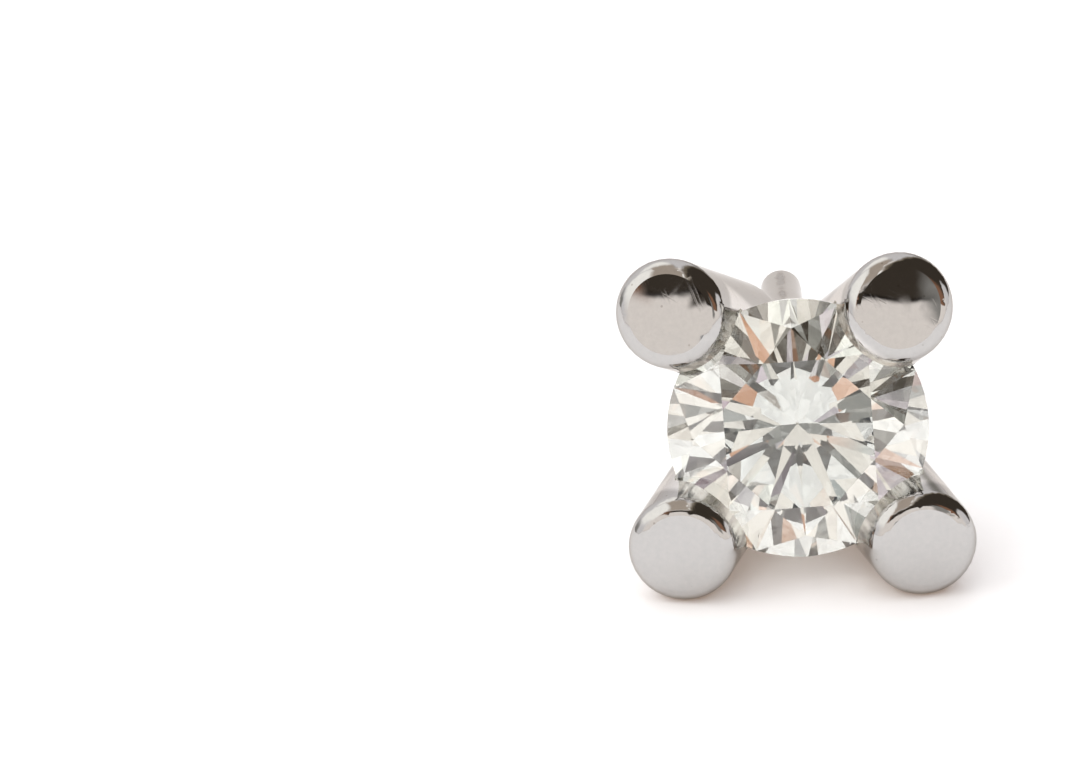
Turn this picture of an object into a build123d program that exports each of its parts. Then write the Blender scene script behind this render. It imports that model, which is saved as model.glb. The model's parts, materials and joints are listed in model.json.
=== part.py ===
"""Four-claw diamond stud earring, standing unworn on its lower claws and the tip of its post.

Millimetres. +X is right, -Y is the side that the stone faces and +Z is up. The origin is on the
surface that the earring stands on, at the middle of its outline.
"""

from build123d import *
from math import atan, cos, degrees, radians, sin, tan
import os

# ---- How the earring stands ------------------------------------------------------------------

REST_TILT = 10.68  # degrees that the stone's face looks up, on the lower claws and the post's tip
STONE_AHEAD = -6.3  # Y of the stud's axis at the stone, which centres the outline on the origin
STONE_HEIGHT = 3.03  # Z of the stud's axis at the stone

# ---- Brilliant-cut stone ---------------------------------------------------------------------

GIRDLE_DIA = 5.0  # a round brilliant of about half a carat
GIRDLE_THICK = 0.1  # at its thick points, where the main facets meet it
TABLE_SHARE = 0.61  # table across its corners, as a share of the girdle
CROWN_ANGLE = 34.5  # degrees of the eight crown mains
PAVILION_ANGLE = 41.3  # degrees of the eight pavilion mains
STAR_SHARE = 0.55  # how far the star facets reach from the table to the girdle
LOWER_HALF_SHARE = 0.85  # how far the lower halves reach from the girdle to the culet
CULET_DIA = 0.05
STONE_TURN = 25.4  # degrees that the facets are turned about the stone's axis
STONE_LEAN = 1.9  # degrees that the stone sits in its claws looking up past the stud's axis
STONE_DROP = 0.02  # how far the stone sits below the stud's axis
MAINS = 8
FACET_STEP = 360 / MAINS

# ---- Claw setting, one soldered piece --------------------------------------------------------

ROD_DIA = 2.08
ROD_SPARE = 2.0  # drawn past each end of a rod, then cut off
END_LEAN = 0.5  # share of a rod's own lean that its end face takes
END_DOME = 4.5  # radius of the slightly domed end face
END_ROUND = 0.34  # shoulder between the end face and the rod
BASE_BACK = 2.9  # back of the soldered base, behind the stone's place on the axis
BACK_ROUND = 0.5  # edge of a rod at the back of the base
CORE_DIA = 2.5  # solder-filled middle of the base
CORE_THICK = 0.45
COLLAR_DIA = 1.5  # low collar that the post is soldered into
COLLAR_THICK = 0.35
COLLAR_ROUND = 0.15

# Middle of each claw's end and of its root at the back of the base, seen from the front.
CLAWS = [
    dict(reach=0.8, end_right=-2.52, end_up=2.47, root_right=-1.03, root_up=1.23),  # upper left
    dict(reach=0.85, end_right=2.03, end_up=2.52, root_right=1.00, root_up=0.91),  # upper right
    dict(reach=1.05, end_right=-2.38, end_up=-2.26, root_right=-0.90, root_up=-0.97),  # lower left
    dict(reach=1.05, end_right=2.44, end_up=-2.26, root_right=0.97, root_up=-1.02),  # lower right
]

# ---- Post ------------------------------------------------------------------------------------

POST_DIA = 0.86
POST_TIP = 14.3  # tip, behind the stone's place on the axis
TIP_ROUND = 0.34

# ---- Seats cut in the claws for the girdle ---------------------------------------------------

SEAT_GAP = 0.05
SEAT_ANGLE = 45.0  # degrees of the seat's upper and lower faces, both steeper than the stone's

# Stud frame: local X is right, local Y is up across the stud and local Z is the way it faces.
STUD = Plane(
    origin=(0, STONE_AHEAD, STONE_HEIGHT),
    x_dir=(1, 0, 0),
    z_dir=(0, -cos(radians(REST_TILT)), sin(radians(REST_TILT))),
)
STUD_AXIS = Axis(STUD.origin, STUD.z_dir)
STUD_SECTION = Plane(STUD.origin, x_dir=STUD.x_dir, z_dir=-STUD.y_dir)


def stud_point(right, up, ahead):
    """Point given in the stud frame, measured from the stone's place on the axis."""
    return STUD.from_local_coords(Vector(right, up, ahead))


# Stone frame: its origin is the middle of the girdle and it leans back with the stone.
stone_tilt = radians(REST_TILT + STONE_LEAN)
STONE = Plane(
    origin=stud_point(0, -STONE_DROP, 0),
    x_dir=(1, 0, 0),
    z_dir=(0, -cos(stone_tilt), sin(stone_tilt)),
)
STONE_AXIS = Axis(STONE.origin, STONE.z_dir)
STONE_SECTION = Plane(STONE.origin, x_dir=STONE.x_dir, z_dir=-STONE.y_dir)

# ---- Stone -----------------------------------------------------------------------------------

girdle_radius = GIRDLE_DIA / 2
table_radius = TABLE_SHARE * girdle_radius
half_girdle = GIRDLE_THICK / 2
half_step = radians(FACET_STEP / 2)
crown_height = (girdle_radius - table_radius) * tan(radians(CROWN_ANGLE))
pavilion_depth = girdle_radius * tan(radians(PAVILION_ANGLE))
table_level = half_girdle + crown_height

# The star facets run from the table's sides to these points between two crown mains.
table_side = table_radius * cos(half_step)
star_reach = table_side + STAR_SHARE * (girdle_radius - table_side)
star_drop = (star_reach * cos(half_step) - table_radius) * tan(radians(CROWN_ANGLE))
star_angle = degrees(atan(star_drop / (star_reach - table_side)))

# The lower halves run from the girdle to these points between two pavilion mains.
lower_reach = (1 - LOWER_HALF_SHARE) * girdle_radius
lower_drop = (girdle_radius - lower_reach * cos(half_step)) * tan(radians(PAVILION_ANGLE))


def stone_point(radius, azimuth, ahead):
    """Point of the stone at a distance and a turn about the stone's axis."""
    turn = radians(azimuth + STONE_TURN)
    return STONE.from_local_coords(Vector(radius * cos(turn), radius * sin(turn), ahead))


def facet_by_angle(radius, azimuth, ahead, angle):
    """Plane of a facet that faces straight out at its azimuth, angle degrees off the table."""
    lean = radians(angle)
    on_facet = stone_point(radius, azimuth, ahead)
    outward = stone_point(sin(lean), azimuth, cos(lean)) - STONE.origin
    return Plane(on_facet, z_dir=outward)


def facet_by_points(first, second, third):
    """Plane of a facet through three points, facing away from the stone."""
    normal = (second - first).cross(third - first)
    if normal.dot(first - STONE.origin) < 0:
        normal = -normal
    return Plane(first, z_dir=normal)


def half_facets(azimuth, level, reach, reach_level):
    """The two girdle facets on either side of the point where they meet, near the azimuth."""
    meeting = stone_point(reach, azimuth, reach_level)
    middle = stone_point(girdle_radius, azimuth, level)
    left = stone_point(girdle_radius, azimuth - FACET_STEP / 2, level)
    right = stone_point(girdle_radius, azimuth + FACET_STEP / 2, level)
    return [facet_by_points(meeting, middle, side) for side in (left, right)]


facets = []
for k in range(MAINS):
    main = k * FACET_STEP
    between = main + FACET_STEP / 2
    facets.append(facet_by_angle(girdle_radius, main, half_girdle, CROWN_ANGLE))
    facets.append(facet_by_angle(table_side, between, table_level, star_angle))
    facets.append(facet_by_angle(girdle_radius, main, -half_girdle, 180 - PAVILION_ANGLE))
    facets.extend(half_facets(between, half_girdle, star_reach, table_level - star_drop))
    facets.extend(half_facets(between, -half_girdle, lower_reach, -half_girdle - lower_drop))

culet_level = half_girdle + pavilion_depth - CULET_DIA / 2 * tan(radians(PAVILION_ANGLE))

with BuildPart(STONE.offset(-culet_level)) as stone:
    Cylinder(
        girdle_radius,
        culet_level + table_level,
        align=(Align.CENTER, Align.CENTER, Align.MIN),
    )
    for facet in facets:
        split(bisect_by=facet, keep=Keep.BOTTOM)

# ---- Setting ---------------------------------------------------------------------------------


def claw_rod(claw):
    """One round rod from the base to the claw's rounded end."""
    root = stud_point(claw["root_right"], claw["root_up"], -BASE_BACK)
    end = stud_point(claw["end_right"], claw["end_up"], claw["reach"])
    along = (end - root).normalized()
    facing = (STUD.z_dir * (1 - END_LEAN) + along * END_LEAN).normalized()
    with BuildPart() as rod:
        with BuildSketch(Plane(root - along * ROD_SPARE, z_dir=along)):
            Circle(ROD_DIA / 2)
        extrude(amount=(end - root).length + 2 * ROD_SPARE)
        with Locations(end - facing * END_DOME):
            Sphere(END_DOME, mode=Mode.INTERSECT)
        split(bisect_by=STUD.offset(-BASE_BACK), keep=Keep.TOP)
        rims = rod.edges().filter_by(lambda edge: edge.is_closed).sort_by(STUD_AXIS)
        fillet(rims[-1], END_ROUND)
        rims = rod.edges().filter_by(lambda edge: edge.is_closed).sort_by(STUD_AXIS)
        fillet(rims[0], BACK_ROUND)
    return rod.part


rods = [claw_rod(claw) for claw in CLAWS]

# The seats follow the stone's girdle, with a V that is open wider than the stone.
seat_radius = girdle_radius + SEAT_GAP
seat_half = half_girdle + SEAT_GAP
seat_slope = tan(radians(SEAT_ANGLE))
seat_top = seat_half + seat_radius * seat_slope

collar_back = BASE_BACK + COLLAR_THICK

with BuildPart() as setting:
    add(rods)
    with BuildSketch(STUD_SECTION) as spine:
        with BuildLine():
            Polyline(
                (0, CORE_THICK - BASE_BACK),
                (CORE_DIA / 2, CORE_THICK - BASE_BACK),
                (CORE_DIA / 2, -BASE_BACK),
                (COLLAR_DIA / 2, -BASE_BACK),
                (COLLAR_DIA / 2, -collar_back),
                (POST_DIA / 2, -collar_back),
                (POST_DIA / 2, -POST_TIP),
                (0, -POST_TIP),
                close=True,
            )
        make_face()
        tip_corners, collar_corners = spine.vertices().group_by(Axis.Y)[:2]
        fillet(tip_corners.sort_by(Axis.X)[-1], TIP_ROUND)
        fillet(collar_corners, COLLAR_ROUND)
    revolve(axis=STUD_AXIS)
    with BuildSketch(STONE_SECTION):
        with BuildLine():
            Polyline(
                (0, -seat_top),
                (seat_radius, -seat_half),
                (seat_radius, seat_half),
                (0, seat_top),
                close=True,
            )
        make_face()
    revolve(axis=STONE_AXIS, mode=Mode.SUBTRACT)

os.makedirs("parts", exist_ok=True)
stone.part.label = "stone"
export_step(stone.part, "parts/stone.step")
setting.part.label = "setting"
export_step(setting.part, "parts/setting.step")
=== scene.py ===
"""Looks, light and camera of a four-claw stud earring lying on a white surface.

Metres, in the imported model's frame: +X is right, -Y is the side that the stone faces and +Z is up.
"""

import json
import math

import bpy
from mathutils import Matrix, Vector

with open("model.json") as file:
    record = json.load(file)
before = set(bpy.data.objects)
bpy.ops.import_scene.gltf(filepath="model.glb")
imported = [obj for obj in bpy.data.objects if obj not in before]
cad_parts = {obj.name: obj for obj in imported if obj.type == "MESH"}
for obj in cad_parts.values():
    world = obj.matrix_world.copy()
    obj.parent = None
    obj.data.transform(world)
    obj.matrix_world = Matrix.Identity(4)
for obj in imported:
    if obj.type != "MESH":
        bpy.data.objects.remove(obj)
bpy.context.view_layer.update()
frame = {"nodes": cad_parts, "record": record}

MM = 0.001

# ---- Camera, measured from the stone's place on the axis -------------------------------------

CAMERA_ELEVATION = math.radians(22.3)
CAMERA_AZIMUTH = math.radians(1.1)
CAMERA_ROLL = math.radians(1.83)
CAMERA_DISTANCE = 126 * MM
STONE_RIGHT_OF_MIDDLE = 4.924 * MM
STONE_BELOW_MIDDLE = 0.677 * MM
LENS = 220.08  # mm on the sensor below
SENSOR = 36.0

# ---- Studio ----------------------------------------------------------------------------------

FLOOR_SIZE = 4.0
FLOOR_WHITE = (0.81, 0.81, 0.82)
FLOOR_GRAIN = 0.99  # darkest grain of the surface, as a share of its white
FLOOR_PATTERN = (900.0, 3.0)  # that grain, per metre, and its levels of detail
# Painted glow: the surface gives off warm light of its own, which lightens and warms the shadows on it.
PAINTED_FLOOR_GLOW = (0.09, 0.045, 0.015)  # warm light that the surface itself gives off
LAMP_COLOUR = (0.93, 1.0, 1.06)
OVERHEAD_HEIGHT = 0.25
OVERHEAD_SIZE = 0.6
OVERHEAD_POWER = 1.15
FILL_PLACE = (-0.12, -0.5, 0.11)
FILL_SIZE = 0.5
FILL_POWER = 1.2

# Light tent, as the metal mirrors it.
FRONT = (1.20, 1.125, 1.065)
BACK = (0.98, 0.96, 0.97)
SOFTBOX = (1.5, 1.48, 1.42)
DARK = (0.065, 0.052, 0.040)
DARKEST = (0.012, 0.008, 0.006)
DIM = (0.28, 0.235, 0.18)
HAZE = (0.62, 0.53, 0.45)
GREY = (0.38, 0.37, 0.35)
SHADE = (0.45, 0.46, 0.47)
BROWN = (0.36, 0.19, 0.12)
TENT_WOBBLE = 0.09  # unevenness of the tent in the metal's mirror, where 0 is smooth
TENT_PATTERN = (5.0, 4.0)  # that unevenness: its scale, and its levels of detail
TENT_FRONT = (-60, 78)  # azimuths that its front spans
TENT_SEAM = 14  # degrees of softness where front and back meet

# Softboxes and cards in the tent: colour, azimuths, elevations and softness in degrees.
TENT_CARDS = [
    (SOFTBOX, (-112, -44), (16, 62), 8),
    (SOFTBOX, (96, 145), (26, 60), 8),
    (SOFTBOX, (-166, -118), (40, 74), 6),
    (GREY, (-126, -98), (-15, 12), 6),
    (GREY, (150, 168), (8, 22), 5),
    (BROWN, (-42, -30), (20, 34), 4),
]

# Dark opening high in front. It is placed by degrees of turn to the right and of rise over the top,
# and its slanting edges by their rise where the turn is 0. Where an edge or a shade is given by two
# numbers, it is missing at the first and complete at the second.
OPENING_SIDES = (-30, 66)  # turns that it lies between
OPENING_SIDES_EDGE = 3  # degrees of softness on either side of those
OPENING_NEAR = 23.5  # rise where it begins
OPENING_NEAR_EDGE = 1.2
OPENING_SLANT = 4.0  # degrees that a slanting edge climbs for each degree to the right
OPENING_FULL_WIDTH = (44, 36)  # rise up to which it spans both its sides
OPENING_FAR = (76, 46)  # slanting far edge above that rise
OPENING_LEFT_FAR = (118, 98)  # rise where its hazy left side ends
OPENING_DIM = (30, 52)  # slanting edge past which its black turns dim
OPENING_HAZY = (2, -4)  # turn past which its left side is hazy
OPENING_HIGH = (38, 48)  # rise above which it is dim or hazy

# Cards in the opening and below its near edge, in the same form as the tent's.
OPENING_RIM = [  # by turn and rise
    (DARKEST, (-30, 40), (20, 25.5), 1),
]
OPENING_CARDS = [  # by azimuth and rise
    (GREY, (29, 44), (20, 34), 5),
    (BROWN, (44, 64), (20, 48), 6),
]
CARDS_BELOW_OPENING = [  # by azimuth and rise
    (DARK, (-9, 0), (19, 27), 1.5),
    (GREY, (28, 48), (13, 26), 3),
]

# Small card and two small lights with true edges, by azimuth and elevation.
SMALL_CARDS = [
    (SHADE, (-4.5, 2.5), (0, 6), 0.5),
    (SOFTBOX, (-11, -6), (64, 73), 1),
    (SOFTBOX, (-6, -2), (48, 54), 1),
]

# Light that the stone gathers.
FIRE = 1.0  # degrees that red and blue part by, in light that leaves the stone
GREEN_SHARE = 0.7  # how far green parts from red, as a share of blue
WARMTH = 0.92  # least share of red beside blue

# Softboxes, opening and cards that the stone gathers, in the same form as the tent's.
STONE_CARDS = [
    (SOFTBOX, (-112, -44), (16, 62), 3),
    (SOFTBOX, (96, 145), (26, 60), 3),
    (DARK, (-15, 18), (15, 45), 1.5),
    (GREY, (20, 55), (15, 45), 1.5),
    (BROWN, (35, 50), (-5, 10), 1.5),
    (GREY, (-50, -35), (-5, 20), 1.5),
    (GREY, (-30, 0), (50, 65), 1.5),
    (DARK, (60, 75), (0, 25), 1.5),
    (GREY, (-75, -60), (0, 25), 1.5),
    (DARK, (-25, -15), (0, 15), 1.5),
    (GREY, (5, 15), (0, 12), 1.5),
]

# ---- Stone's place, and the finishes ---------------------------------------------------------

STONE_BEFORE_POST = 8.605 * MM  # from the stone's place on the post's axis to the middle of the post
STONE_LEAN = math.radians(1.9)  # how far the stone looks up past the post's axis
SEAT_REACH = (3.25 * MM, 2.95 * MM)  # from the stone's middle, along its axis plus across it

METAL_PALE = (0.565, 0.55, 0.535)
METAL_GREY = (0.47, 0.465, 0.46)
# Painted light: the metal close to the stone is coloured lighter than the rest.
METAL_PAINTED_LIGHT_BESIDE_STONE = (0.84, 0.82, 0.80)
METAL_EDGE_TINT = (0.66, 0.63, 0.60, 1.0)

# Roughness of the polished metal, and what wear, scratches and the seats add to it.
POLISH = 0.04
WEAR_DULLNESS = 0.03
SCRATCH_DULLNESS = 0.06
SEAT_DULLNESS = 0.10

# Heights of the metal's surface, in mm.
WAVE_HEIGHT = 0.012
RIPPLE_HEIGHT = 0.0005
SCRATCH_DEPTH = 0.00015

# Patterns of the metal: repeats per mm, levels of detail and, in one, strength of the finer levels.
WEAR_PATTERN = (1.3, 3.0)
MOTTLE_PATTERN = (9.0, 4.0, 0.65)
WAVE_PATTERN = (0.9, 1.0)
RIPPLE_PATTERN = (4.0, 1.0)
WEAR_LEVELS = (0.35, 0.65)  # of its pattern, from unworn to worn

# Hairline scratches: the turn of each set in radians, and the spacing between its lines in mm.
SCRATCHES = [
    ((0.3, 0.5, 0.9), 0.035),
    ((1.2, -0.4, 0.2), 0.05),
    ((-0.7, 0.9, -1.1), 0.04),
]
SCRATCH_LENGTH = 2.0  # mm
SCRATCH_LEVELS = (0.64, 0.72)  # of the pattern, from plain metal to scratched
BREAK_PATTERN = (2.2, 1.0)  # breaks in the lines
BREAK_LEVELS = (0.5, 0.62)  # from broken to whole

# Small pits, shown only as painted shade: dark spots, with no dent in the surface.
PAINTED_PIT_SHADE = (0.30, 0.28, 0.26)
PIT_DEPTH_OF_COLOUR = 0.5
PIT_PLACES = 4.0  # per mm
PITLESS_SHARE = 0.5  # of those places
PIT_EDGE = (0.13, 0.06)  # from rim to floor, as shares of the spacing

STONE_TINTS = ((0.765, 0.78, 0.735), (0.795, 0.81, 0.765))
STONE_PATTERN = (700.0, 2.0)  # changes of tint, per metre, and their levels of detail
DIAMOND_IOR = 2.417


def post_line():
    """Middle of the ear post and the direction from the stone to its tip."""
    post = next(mount for mount in frame["record"]["mounts"] if mount["name"] == "post")
    return Vector(post["pos_m"]), Vector(post["axis"]).normalized()


def stone_place():
    """Point on the axis of the ear post where the stone sits."""
    middle, backward = post_line()
    return middle - backward * STONE_BEFORE_POST


def stone_axis():
    """Direction from the stone's face to its point."""
    _, backward = post_line()
    return Matrix.Rotation(-STONE_LEAN, 3, "X") @ backward


def add_camera(target):
    """Camera that looks down on the stone from the front, with the stone right of the middle."""
    forward = Vector(
        (
            -math.sin(CAMERA_AZIMUTH) * math.cos(CAMERA_ELEVATION),
            math.cos(CAMERA_AZIMUTH) * math.cos(CAMERA_ELEVATION),
            -math.sin(CAMERA_ELEVATION),
        )
    )
    level = forward.cross(Vector((0, 0, 1))).normalized()
    upward = level.cross(forward)
    right = level * math.cos(CAMERA_ROLL) - upward * math.sin(CAMERA_ROLL)
    up = level * math.sin(CAMERA_ROLL) + upward * math.cos(CAMERA_ROLL)
    data = bpy.data.cameras.new("camera")
    data.lens = LENS
    data.sensor_width = SENSOR
    data.clip_start = CAMERA_DISTANCE / 10
    data.clip_end = 10 * FLOOR_SIZE
    camera = bpy.data.objects.new("camera", data)
    place = target - forward * CAMERA_DISTANCE - right * STONE_RIGHT_OF_MIDDLE + up * STONE_BELOW_MIDDLE
    turn = Matrix((right, up, -forward)).transposed().to_4x4()
    camera.matrix_world = Matrix.Translation(place) @ turn
    bpy.context.scene.collection.objects.link(camera)
    bpy.context.scene.camera = camera


# ---- Node helpers ----------------------------------------------------------------------------


class Nodes:
    """Short calls that add nodes to one node tree and return the socket that they make."""

    def __init__(self, tree):
        self.tree = tree
        tree.nodes.clear()

    def add(self, kind, inputs=None, **settings):
        """New node, with each input linked to a socket or set to a value."""
        node = self.tree.nodes.new(kind)
        for name, value in settings.items():
            setattr(node, name, value)
        for name, value in (inputs or {}).items():
            if isinstance(value, bpy.types.NodeSocket):
                self.tree.links.new(value, node.inputs[name])
            else:
                node.inputs[name].default_value = value
        return node

    def math(self, operation, *values, clamp=False):
        """One sum on numbers."""
        inputs = dict(enumerate(values))
        return self.add("ShaderNodeMath", inputs, operation=operation, use_clamp=clamp).outputs[0]

    def ramp(self, value, start, end):
        """0 at the start and before it, 1 at the end and past it, and smooth between them."""
        inputs = {"Value": value, "From Min": start, "From Max": end}
        return self.add("ShaderNodeMapRange", inputs, interpolation_type="SMOOTHSTEP").outputs[0]

    def band(self, value, low, high, soft):
        """1 between low and high, with soft edges."""
        rise = self.ramp(value, low - soft, low + soft)
        fall = self.ramp(value, high - soft, high + soft)
        return self.math("SUBTRACT", rise, fall, clamp=True)

    def mix(self, factor, first, second):
        """First colour at 0 and second colour at 1."""
        node = self.add("ShaderNodeMix", data_type="RGBA")
        for index, value in ((0, factor), (6, first), (7, second)):
            if isinstance(value, bpy.types.NodeSocket):
                self.tree.links.new(value, node.inputs[index])
            elif index == 0:
                node.inputs[index].default_value = value
            else:
                node.inputs[index].default_value = (*value, 1)
        return node.outputs[2]

    def vector(self, operation, *values, **named):
        """One sum on vectors that gives a vector."""
        inputs = {**dict(enumerate(values)), **named}
        return self.add("ShaderNodeVectorMath", inputs, operation=operation).outputs["Vector"]

    def noise(self, vector, scale, detail, roughness=0.5):
        """Soft random pattern."""
        inputs = {"Vector": vector, "Scale": scale, "Detail": detail, "Roughness": roughness}
        return self.add("ShaderNodeTexNoise", inputs)

    def mapped(self, vector, turn, stretch=(1, 1, 1)):
        """Coordinates of a pattern that is turned and stretched."""
        inputs = {"Vector": vector, "Rotation": turn, "Scale": stretch}
        return self.add("ShaderNodeMapping", inputs, vector_type="TEXTURE").outputs[0]


# ---- Studio ----------------------------------------------------------------------------------


def patch(nodes, light, colour, across, sides, upward, heights, soft):
    """Lays a colour over the light between two angles across and two angles upward."""
    inside = nodes.math(
        "MULTIPLY",
        nodes.band(across, *sides, soft),
        nodes.band(upward, *heights, soft),
    )
    return nodes.mix(inside, light, colour)


def angles(nodes, direction):
    """Azimuth, elevation, turn to the right and rise over the top from the front, in degrees."""
    axes = nodes.add("ShaderNodeSeparateXYZ", {0: nodes.vector("NORMALIZE", direction)}).outputs
    ahead = nodes.math("MULTIPLY", axes["Y"], -1.0)
    azimuth = nodes.math("DEGREES", nodes.math("ARCTAN2", axes["X"], ahead))
    elevation = nodes.math("DEGREES", nodes.math("ARCSINE", axes["Z"]))
    aside = nodes.math("DEGREES", nodes.math("ARCSINE", axes["X"]))
    rise = nodes.math("DEGREES", nodes.math("ARCTAN2", axes["Z"], ahead))
    return azimuth, elevation, aside, rise


def lay_cards(nodes, light, across, upward, cards):
    """Lays each card of a list over the light."""
    for colour, sides, heights, soft in cards:
        light = patch(nodes, light, colour, across, sides, upward, heights, soft)
    return light


def tent_wall(nodes, azimuth, elevation, cards):
    """Tent that is brighter in front than behind, with softboxes and cards on it."""
    light = nodes.mix(nodes.band(azimuth, *TENT_FRONT, TENT_SEAM), BACK, FRONT)
    return lay_cards(nodes, light, azimuth, elevation, cards)


def dark_opening(nodes, azimuth, aside, rise):
    """Colour inside the tent's opening, and 1 where the opening covers the tent."""
    slant = nodes.math("MULTIPLY_ADD", aside, -OPENING_SLANT, rise)

    # Inside: black at the near edge, dim past a slanting edge and hazy up on the left.
    high = nodes.ramp(rise, *OPENING_HIGH)
    dim = nodes.math("MULTIPLY", nodes.ramp(slant, *OPENING_DIM), high)
    inside = nodes.mix(dim, DARK, DIM)
    hazy = nodes.math("MULTIPLY", nodes.ramp(aside, *OPENING_HAZY), high)
    inside = nodes.mix(hazy, inside, HAZE)
    inside = lay_cards(nodes, inside, aside, rise, OPENING_RIM)
    inside = lay_cards(nodes, inside, azimuth, rise, OPENING_CARDS)

    # Reach: the far edge slants too, and the hazy left side reaches further back.
    across = nodes.band(aside, *OPENING_SIDES, OPENING_SIDES_EDGE)
    upward = nodes.ramp(rise, OPENING_NEAR - OPENING_NEAR_EDGE, OPENING_NEAR + OPENING_NEAR_EDGE)
    before = nodes.math("MAXIMUM", nodes.ramp(slant, *OPENING_FAR), nodes.ramp(rise, *OPENING_FULL_WIDTH))
    left = nodes.math("MULTIPLY", hazy, nodes.ramp(rise, *OPENING_LEFT_FAR))
    before = nodes.math("MAXIMUM", before, left)
    cover = nodes.math("MULTIPLY", across, nodes.math("MULTIPLY", upward, before))
    return inside, cover


def tent(nodes, direction, wavy):
    """Light tent with a dark opening high in front, which fades out past the top."""
    azimuth, elevation, aside, rise = angles(nodes, wavy)
    light = tent_wall(nodes, azimuth, elevation, TENT_CARDS)
    inside, cover = dark_opening(nodes, azimuth, aside, rise)
    light = lay_cards(nodes, light, azimuth, rise, CARDS_BELOW_OPENING)
    light = nodes.mix(cover, light, inside)

    # The tent's unevenness leaves the small cards alone.
    azimuth, elevation, _, _ = angles(nodes, direction)
    return lay_cards(nodes, light, azimuth, elevation, SMALL_CARDS)


def gathered_light(nodes, direction):
    """Tent, opening and cards that the stone's facets pick up, with red and blue a little apart."""
    azimuth, elevation, _, _ = angles(nodes, direction)
    ends = []
    for side in (-FIRE / 2, FIRE / 2):
        across = nodes.math("ADD", azimuth, side)
        upward = nodes.math("ADD", elevation, side)
        ends.append(tent_wall(nodes, across, upward, STONE_CARDS))
    reds, blues = (nodes.add("ShaderNodeSeparateColor", {0: light}).outputs for light in ends)
    greens = nodes.math("MULTIPLY", nodes.math("SUBTRACT", blues["Green"], reds["Green"]), GREEN_SHARE)
    greens = nodes.math("ADD", greens, reds["Green"])
    warm = nodes.math("MAXIMUM", reds["Red"], nodes.math("MULTIPLY", blues["Red"], WARMTH))
    inputs = {"Red": warm, "Green": greens, "Blue": blues["Blue"]}
    return nodes.add("ShaderNodeCombineColor", inputs).outputs[0]


def add_world():
    """Light around the earring: the tent, what the stone gathers and a white backdrop."""
    world = bpy.data.worlds.new("studio")
    world.use_nodes = True
    nodes = Nodes(world.node_tree)
    direction = nodes.add("ShaderNodeTexCoord").outputs["Generated"]
    wobble = nodes.noise(direction, *TENT_PATTERN).outputs["Color"]
    wobble = nodes.vector("SUBTRACT", wobble, (0.5, 0.5, 0.5))
    wavy = nodes.vector("ADD", direction, nodes.vector("SCALE", wobble, Scale=TENT_WOBBLE))
    path = nodes.add("ShaderNodeLightPath").outputs
    shader = nodes.add("ShaderNodeBackground", {"Color": tent(nodes, direction, wavy)}).outputs[0]
    gathered = nodes.add("ShaderNodeBackground", {"Color": gathered_light(nodes, direction)}).outputs[0]
    backdrop = nodes.add("ShaderNodeBackground", {"Color": (1.0, 1.0, 1.0, 1.0)}).outputs[0]
    inputs = {0: path["Is Transmission Ray"], 1: shader, 2: gathered}
    shader = nodes.add("ShaderNodeMixShader", inputs).outputs[0]
    inputs = {0: path["Is Camera Ray"], 1: shader, 2: backdrop}
    shader = nodes.add("ShaderNodeMixShader", inputs).outputs[0]
    nodes.add("ShaderNodeOutputWorld", {"Surface": shader})
    world.cycles.sampling_method = "MANUAL"
    world.cycles.sample_map_resolution = 512
    bpy.context.scene.world = world


def add_lamp(name, size, power, place):
    """Wide soft lamp aimed at the earring, which the metal and the stone don't mirror."""
    data = bpy.data.lights.new(name, "AREA")
    data.shape = "DISK"
    data.size = size
    data.energy = power
    data.color = LAMP_COLOUR
    lamp = bpy.data.objects.new(name, data)
    lamp.location = place
    lamp.rotation_euler = Vector(place).to_track_quat("Z", "Y").to_euler()
    lamp.visible_glossy = False
    lamp.visible_transmission = False
    bpy.context.scene.collection.objects.link(lamp)


def add_floor():
    """White surface that the earring lies on, with a painted warm glow that lightens its shadows."""
    mesh = bpy.data.meshes.new("floor")
    half = FLOOR_SIZE / 2
    corners = [(-half, -half, 0), (half, -half, 0), (half, half, 0), (-half, half, 0)]
    mesh.from_pydata(corners, [], [(0, 1, 2, 3)])
    floor = bpy.data.objects.new("floor", mesh)
    bpy.context.scene.collection.objects.link(floor)
    material = bpy.data.materials.new("white_surface")
    material.use_nodes = True
    nodes = Nodes(material.node_tree)
    place = nodes.add("ShaderNodeTexCoord").outputs["Object"]
    grain = nodes.noise(place, *FLOOR_PATTERN).outputs[0]
    white = nodes.mix(grain, [FLOOR_GRAIN * level for level in FLOOR_WHITE], FLOOR_WHITE)
    lit = nodes.add("ShaderNodeBsdfDiffuse", {"Color": white}).outputs[0]
    # Painted glow that lightens and warms the shadows on the surface.
    painted_glow = nodes.add("ShaderNodeEmission", {"Color": (*PAINTED_FLOOR_GLOW, 1.0)}).outputs[0]
    shader = nodes.add("ShaderNodeAddShader", {0: lit, 1: painted_glow})
    nodes.add("ShaderNodeOutputMaterial", {"Surface": shader.outputs[0]})
    mesh.materials.append(material)


# ---- Finishes --------------------------------------------------------------------------------


def new_material(name):
    """Empty material and the nodes to fill it with."""
    material = bpy.data.materials.new(name)
    material.use_nodes = True
    return material, Nodes(material.node_tree)


def beside_stone(nodes):
    """1 on the metal close to the stone, 0 on the rest of the setting."""
    place = nodes.add("ShaderNodeTexCoord").outputs["Object"]
    place = nodes.vector("SUBTRACT", place, stone_place())
    axis = stone_axis()
    along = nodes.add("ShaderNodeVectorMath", {0: place, 1: axis}, operation="DOT_PRODUCT").outputs["Value"]
    across = nodes.vector("CROSS_PRODUCT", place, axis)
    across = nodes.add("ShaderNodeVectorMath", {0: across}, operation="LENGTH").outputs["Value"]
    reach = nodes.math("ADD", nodes.math("ABSOLUTE", along), across)
    return nodes.ramp(reach, *SEAT_REACH)


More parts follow.
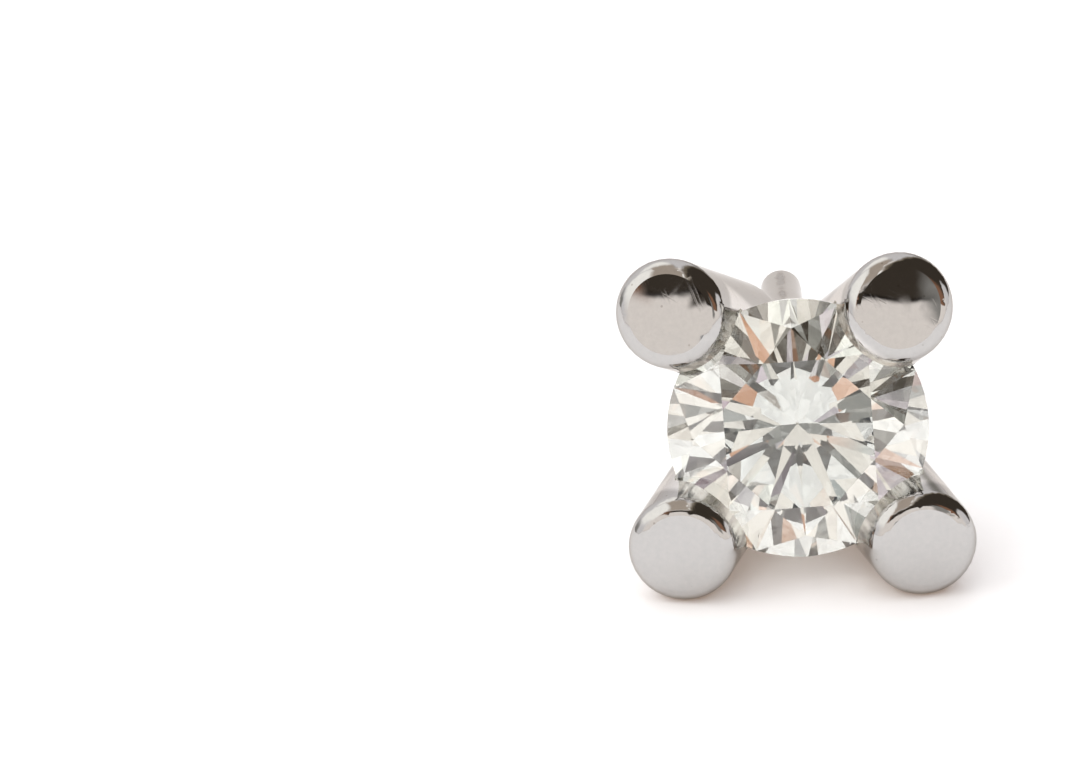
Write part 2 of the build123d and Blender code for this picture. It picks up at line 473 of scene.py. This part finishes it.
def hairline_scratches(nodes, place):
    """1 along the scratches and 0 beside them."""
    scratches = None
    for turn, spacing in SCRATCHES:
        stretch = (SCRATCH_LENGTH, SCRATCH_LENGTH, spacing)
        lines = nodes.noise(nodes.mapped(place, turn, stretch), 1.0, 0.0).outputs[0]
        whole = nodes.ramp(nodes.noise(nodes.mapped(place, turn), *BREAK_PATTERN).outputs[0], *BREAK_LEVELS)
        lines = nodes.math("MULTIPLY", nodes.ramp(lines, *SCRATCH_LEVELS), whole)
        scratches = lines if scratches is None else nodes.math("MAXIMUM", scratches, lines)
    return scratches


def small_pits(nodes, place):
    """1 in the pits, where shade is painted, and 0 around them."""
    cells = nodes.add("ShaderNodeTexVoronoi", {"Vector": place, "Scale": PIT_PLACES}).outputs
    pick = nodes.add("ShaderNodeSeparateColor", {0: cells["Color"]}).outputs["Red"]
    chosen = nodes.math("GREATER_THAN", pick, PITLESS_SHARE)
    return nodes.math("MULTIPLY", nodes.ramp(cells["Distance"], *PIT_EDGE), chosen)


def white_gold():
    """Polished white gold with hairline scratches, a slightly uneven surface, painted shade in small pits
    and painted light on the metal close to the stone.
    """
    material, nodes = new_material("polished_white_gold")
    place = nodes.add("ShaderNodeTexCoord").outputs["Object"]
    place = nodes.vector("SCALE", place, Scale=1 / MM)
    scratches = hairline_scratches(nodes, place)
    worn = nodes.ramp(nodes.noise(place, *WEAR_PATTERN).outputs[0], *WEAR_LEVELS)
    rough = nodes.math("MULTIPLY_ADD", worn, WEAR_DULLNESS, POLISH)
    rough = nodes.math("MULTIPLY_ADD", scratches, SCRATCH_DULLNESS, rough)
    mottle = nodes.noise(place, *MOTTLE_PATTERN).outputs[0]
    colour = nodes.mix(mottle, METAL_PALE, METAL_GREY)
    pit_shade = small_pits(nodes, place)
    # Painted shade: the pits are coloured darker, most toward their floor.
    colour = nodes.mix(nodes.math("MULTIPLY", pit_shade, PIT_DEPTH_OF_COLOUR), colour, PAINTED_PIT_SHADE)
    close = beside_stone(nodes)
    # Painted light: the metal close to the stone is coloured lighter; it is also made duller there.
    colour = nodes.mix(close, colour, METAL_PAINTED_LIGHT_BESIDE_STONE)
    rough = nodes.math("MULTIPLY_ADD", close, SEAT_DULLNESS, rough)
    height = nodes.math("MULTIPLY", nodes.noise(place, *WAVE_PATTERN).outputs[0], WAVE_HEIGHT)
    ripples = nodes.noise(place, *RIPPLE_PATTERN).outputs[0]
    height = nodes.math("MULTIPLY_ADD", ripples, RIPPLE_HEIGHT, height)
    height = nodes.math("MULTIPLY_ADD", scratches, -SCRATCH_DEPTH, height)
    bump = nodes.add("ShaderNodeBump", {"Height": height, "Distance": MM, "Strength": 1.0}).outputs[0]
    shader = nodes.add(
        "ShaderNodeBsdfPrincipled",
        {
            "Base Color": colour,
            "Metallic": 1.0,
            "Roughness": rough,
            "Specular Tint": METAL_EDGE_TINT,
            "Normal": bump,
        },
    )
    nodes.add("ShaderNodeOutputMaterial", {"Surface": shader.outputs[0]})
    return material


def diamond():
    """Clear cut stone with flat facets and a faint tint."""
    material, nodes = new_material("cut_diamond")
    flat = nodes.add("ShaderNodeNewGeometry").outputs["True Normal"]
    place = nodes.add("ShaderNodeTexCoord").outputs["Object"]
    cloud = nodes.noise(place, *STONE_PATTERN).outputs[0]
    tint = nodes.mix(cloud, *STONE_TINTS)
    shader = nodes.add(
        "ShaderNodeBsdfPrincipled",
        {
            "Base Color": tint,
            "Roughness": 0.0,
            "IOR": DIAMOND_IOR,
            "Transmission Weight": 1.0,
            "Normal": flat,
        },
    )
    nodes.add("ShaderNodeOutputMaterial", {"Surface": shader.outputs[0]})
    return material


def finish_node(name, material):
    """Gives a CAD node its finish."""
    slots = frame["nodes"][name].data.materials
    slots.clear()
    slots.append(material)


def set_look():
    """Plain colours, and enough bounces for light to find its way through the stone."""
    scene = bpy.context.scene
    scene.view_settings.view_transform = "Standard"
    scene.cycles.max_bounces = 24
    scene.cycles.transmission_bounces = 24
    scene.cycles.glossy_bounces = 12
    scene.cycles.diffuse_bounces = 3
    scene.cycles.use_denoising = True
    scene.cycles.sample_clamp_indirect = 6.0
    scene.cycles.blur_glossy = 0.0
    scene.cycles.sampling_pattern = "TABULATED_SOBOL"


finish_node("setting", white_gold())
finish_node("stone", diamond())
add_world()
add_lamp("overhead", OVERHEAD_SIZE, OVERHEAD_POWER, (0.0, 0.0, OVERHEAD_HEIGHT))
add_lamp("fill", FILL_SIZE, FILL_POWER, FILL_PLACE)
frame["nodes"]["stone"].visible_shadow = False  # clear, so lamp light passes it
add_floor()
set_look()
add_camera(stone_place())
